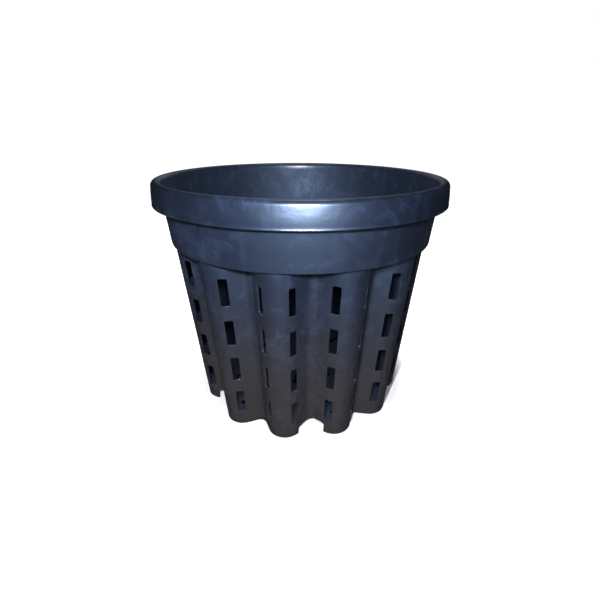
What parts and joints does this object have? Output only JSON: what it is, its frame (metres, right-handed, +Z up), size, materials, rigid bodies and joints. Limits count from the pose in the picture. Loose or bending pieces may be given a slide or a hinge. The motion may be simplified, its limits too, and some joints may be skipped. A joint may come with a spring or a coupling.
{
  "type": "air pruning pot",
  "caption": "Tapered black plastic plant pot with a turned-down rim, a plain collar and a fluted, slotted wall of hollow ribs that end in feet.",
  "frame": {"origin": "on the ground under the middle of the pot, in the plane of the feet's soles", "axes": "+Z up along the pot's axis, with the crest of one rib on -Y"},
  "size_m": [0.3998, 0.3998, 0.333],
  "materials": {
    "pot_plastic": "satin black, moulded"
  },
  "bodies": {
    "root": {"rim_flange": "pot_plastic", "rim_skirt": "pot_plastic", "collar": "pot_plastic", "ledge": "pot_plastic", "rib_01": "pot_plastic", "rib_02": "pot_plastic", "rib_03": "pot_plastic", "rib_04": "pot_plastic", "rib_05": "pot_plastic", "rib_06": "pot_plastic", "rib_07": "pot_plastic", "rib_08": "pot_plastic", "rib_09": "pot_plastic", "rib_10": "pot_plastic", "rib_11": "pot_plastic", "rib_12": "pot_plastic", "web_01": "pot_plastic", "web_02": "pot_plastic", "web_03": "pot_plastic", "web_04": "pot_plastic", "web_05": "pot_plastic", "web_06": "pot_plastic", "web_07": "pot_plastic", "web_08": "pot_plastic", "web_09": "pot_plastic", "web_10": "pot_plastic", "web_11": "pot_plastic", "web_12": "pot_plastic", "floor": "pot_plastic"}
  },
  "joints": []
}
